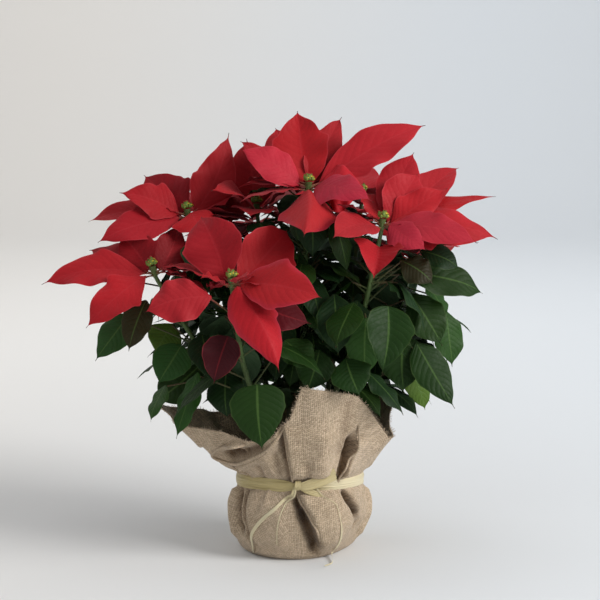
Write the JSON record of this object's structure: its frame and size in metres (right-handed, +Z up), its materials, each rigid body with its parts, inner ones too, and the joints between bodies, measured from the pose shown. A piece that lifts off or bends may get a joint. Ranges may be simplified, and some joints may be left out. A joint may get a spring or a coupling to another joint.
{
  "type": "potted poinsettia",
  "caption": "Red poinsettia with several leafy stems in a round grower's pot, wrapped in gathered burlap and tied with a raffia ribbon.",
  "frame": {"origin": "centre of the wrap's flat underside, on the surface the pot stands on", "axes": "+Z up along the pot's axis, -Y towards the viewer of the picture, +X to the viewer's right"},
  "size_m": [0.5393, 0.3984, 0.523],
  "materials": {
    "leaf_green": "satin",
    "bract_red": "matte",
    "cyathia_yellow_green": "satin",
    "pot_black_plastic": "satin",
    "potting_soil": "matte",
    "burlap": "matte",
    "raffia": "satin"
  },
  "bodies": {
    "root": {"pot": "pot_black_plastic", "potting_soil": "potting_soil", "burlap_wrap": "burlap", "raffia_tie": "raffia", "stem_centre": "leaf_green", "bloom_centre": "bract_red", "cyathia_centre": "cyathia_yellow_green", "stem_right": "leaf_green", "bloom_right": "bract_red", "cyathia_right": "cyathia_yellow_green", "stem_front": "leaf_green", "bloom_front": "bract_red", "cyathia_front": "cyathia_yellow_green", "stem_left_upper": "leaf_green", "bloom_left_upper": "bract_red", "cyathia_left_upper": "cyathia_yellow_green", "stem_left_lower": "leaf_green", "bloom_left_lower": "bract_red", "cyathia_left_lower": "cyathia_yellow_green", "stem_centre_left": "leaf_green", "bloom_centre_left": "bract_red", "cyathia_centre_left": "cyathia_yellow_green", "stem_back_right": "leaf_green", "bloom_back_right": "bract_red", "cyathia_back_right": "cyathia_yellow_green", "stem_back_left": "leaf_green", "bloom_back_left": "bract_red", "cyathia_back_left": "cyathia_yellow_green", "stem_back": "leaf_green", "bloom_back": "bract_red", "cyathia_back": "cyathia_yellow_green", "stem_far_right": "leaf_green", "bloom_far_right": "bract_red", "cyathia_far_right": "cyathia_yellow_green"}
  },
  "joints": []
}
